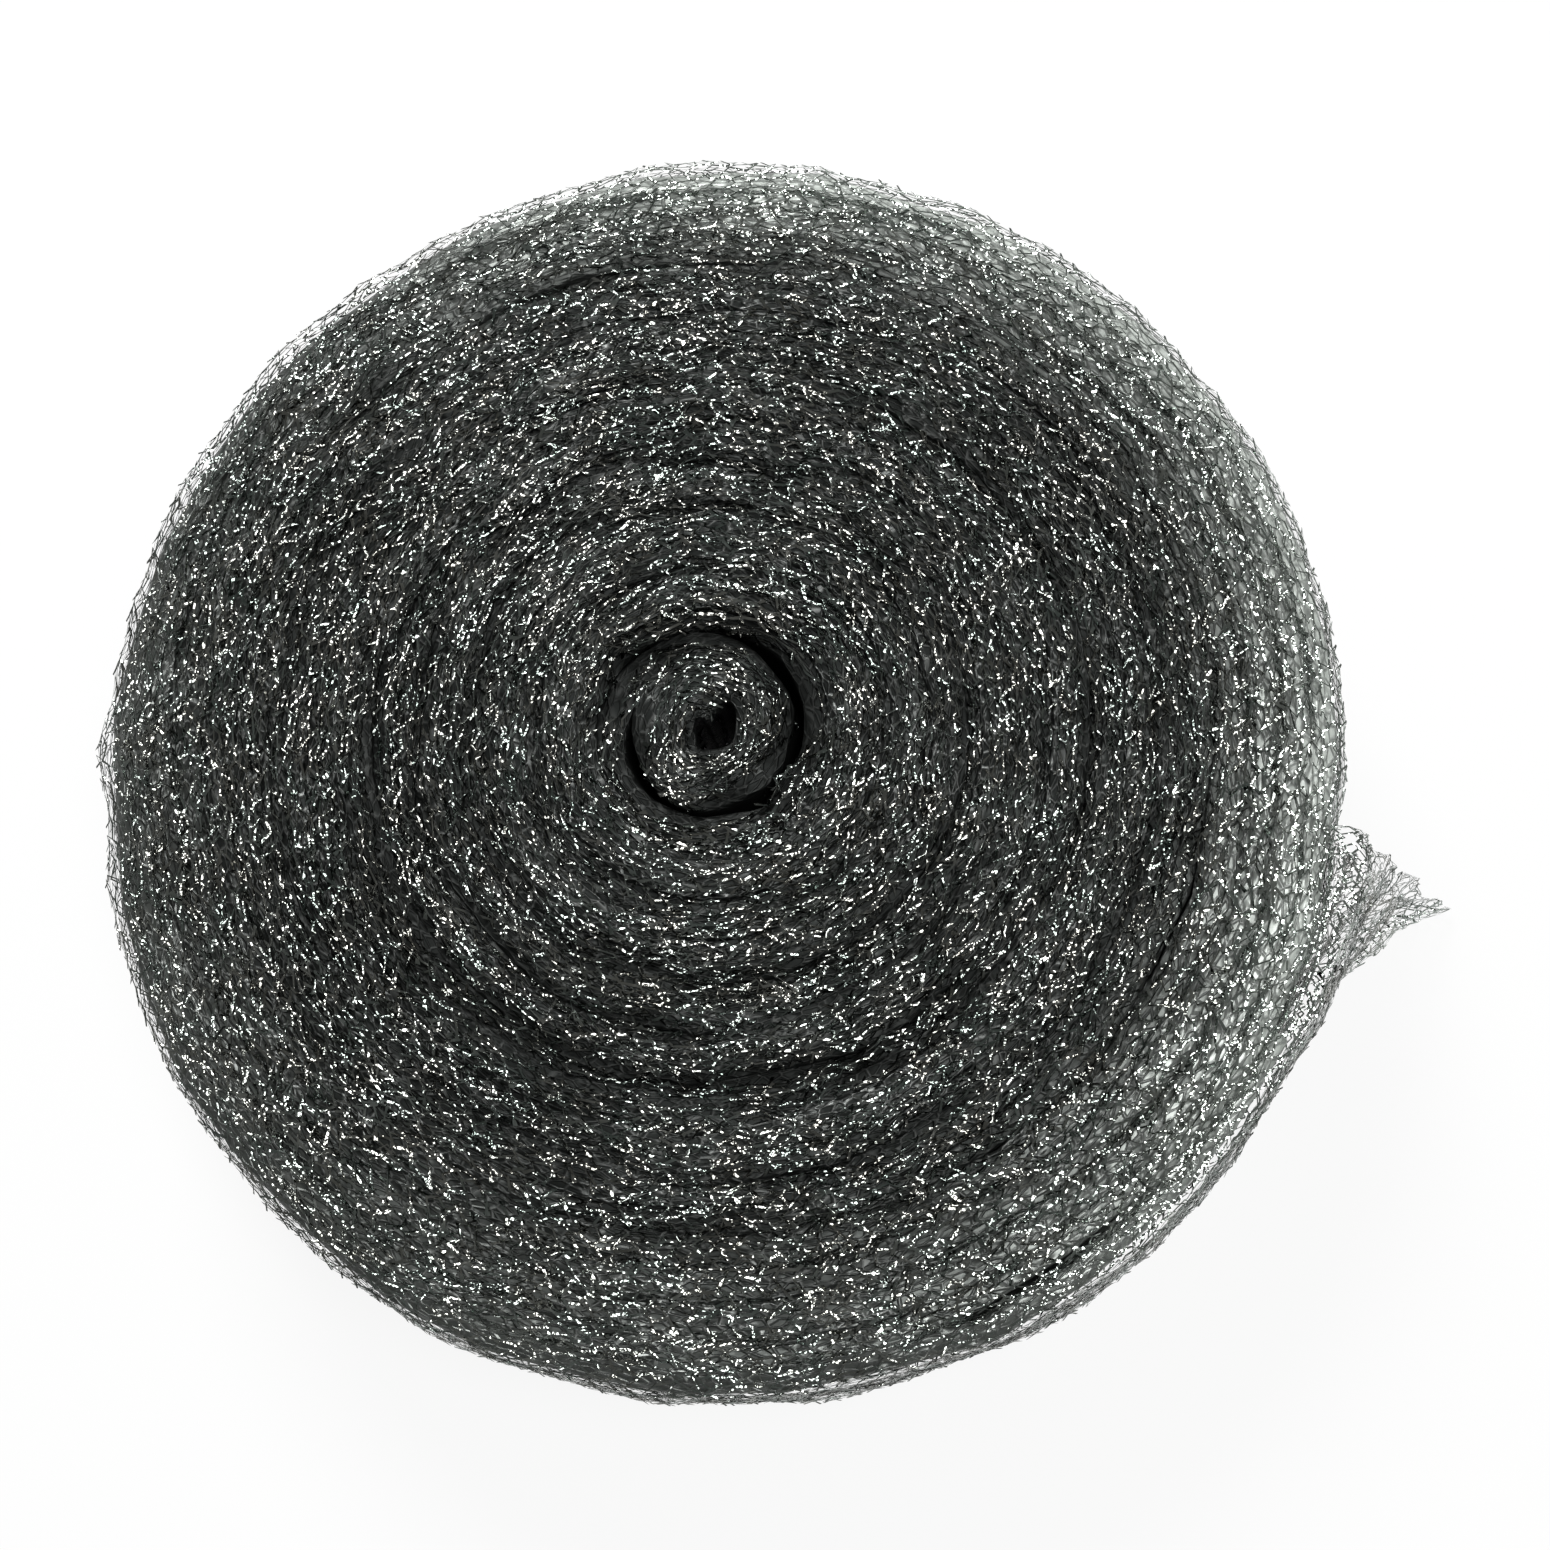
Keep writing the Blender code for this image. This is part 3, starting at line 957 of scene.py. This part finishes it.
def pack_turns(name, first, last, room_share, side_share, end_drop):
    """A band that takes up these shares of the turns' thickness at the fold and down the side,
    and sinks at its outer end. What it leaves free is on its outer side.
    """
    bpy.ops.object.select_all(action="DESELECT")
    bpy.ops.mesh.primitive_grid_add(
        x_subdivisions=int((last - first) * BAND_STEPS), y_subdivisions=3, size=2.0)
    band = bpy.context.object
    band.name = name
    x, y, _ = points_of(band.data).T
    top_row, upper_rows, middle_rows = y > 0.9, y > 0.0, np.abs(y) < 0.5
    turn = first + (x + 1.0) / 2.0 * (last - first)
    wander, rise = turn_unevenness(np.interp(turn, turn_steps, length_to_step))
    drop = BAND_TOP_DROP + end_drop * smooth_step(turn - last + 1.0)
    top = fold_height(turn) - RING_SINK * beside_ring(turn) + TURN_RISE * rise - drop
    height = np.where(upper_rows, top, BAND_FOOT)
    height -= np.where(middle_rows, np.sign(y) * BAND_SHADE_DEPTH, 0.0)
    share = height / STRIP_WIDTH
    radius = strip_radius(turn, share)
    radius += TURN_WANDER * wander * share
    outer_room, inner_room = (
        np.where(upper_rows, room_beside(turn, side), foot_room(turn, side))
        for side in (True, False))
    thickness = (outer_room + inner_room) * np.where(top_row, room_share, side_share)
    free = np.where(top_row, 0.0, (room_share - side_share) / 2.0)
    radius += (outer_room - inner_room) / 2.0 - free * (outer_room + inner_room)
    thinned = 1.0 - smooth_step((last - turn) * BAND_END_EASE + BAND_END_LEAST)
    radius -= thickness * thinned / 2.0
    thickness = thickness * (1.0 - thinned)
    band.data.vertices.foreach_set("co", place_at(turn, radius, height).ravel())
    set_values(band.data, "turn", "FLOAT", turn)
    solidify = band.modifiers.new("thickness", "SOLIDIFY")
    solidify.thickness = thickness.max()
    solidify.offset = 0.0
    solidify.vertex_group = "room"
    room = band.vertex_groups.new(name="room")
    for index, weight in enumerate(thickness / thickness.max()):
        room.add([index], weight, "REPLACE")
    bevel = band.modifiers.new("rounding", "BEVEL")
    bevel.width = BAND_ROUNDING
    bevel.segments = 2
    bevel.limit_method = "ANGLE"
    bevel.angle_limit = BAND_CORNER
    bpy.ops.object.modifier_apply(modifier="thickness")
    bpy.ops.object.modifier_apply(modifier="rounding")
    return band


def light_band(band):
    """Give a band's points their way along the strip, their light and their paleness."""
    mesh = band.data
    x, y, height = points_of(mesh).T
    turn = np.empty(len(mesh.vertices))
    mesh.attributes["turn"].data.foreach_get("value", turn)
    length = np.interp(turn, turn_steps, length_to_step)
    radius = np.hypot(x - MIDDLE[0], y - MIDDLE[1])
    outwards = radius - strip_radius(turn, height / STRIP_WIDTH)
    depth = np.minimum(fold_height(turn) - height - BAND_TOP_DROP, height - BAND_FOOT)
    side = np.clip(outwards / room_beside(turn, outwards > 0.0), -1.0, 1.0)
    way = np.stack([length / STRAND_STRETCH, radius, height], axis=1)
    set_values(mesh, "way", "FLOAT_VECTOR", way)
    set_values(mesh, "light", "FLOAT", light_inside(turn, depth, side))
    set_values(mesh, "pale", "FLOAT", rim_paleness(turn, outwards / PITCH, depth))
    mesh.shade_smooth()
    mesh.materials.append(wire_behind)
    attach(band, "root")
    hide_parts(STRIP)
    print(band.name, "triangles:", sum(len(face.vertices) - 2 for face in mesh.polygons))


rim_from = TURN_COUNT - OUTER_TURNS
light_band(pack_turns("wire_behind", 0.0, rim_from, BAND_SHARE, BAND_SHARE, 0.0))
light_band(pack_turns("wire_behind_rim", rim_from, TURN_COUNT - RIM_BAND_FREE_TURNS,
                      RIM_BAND_SHARE, RIM_BAND_SIDE_SHARE, RIM_BAND_SINK))
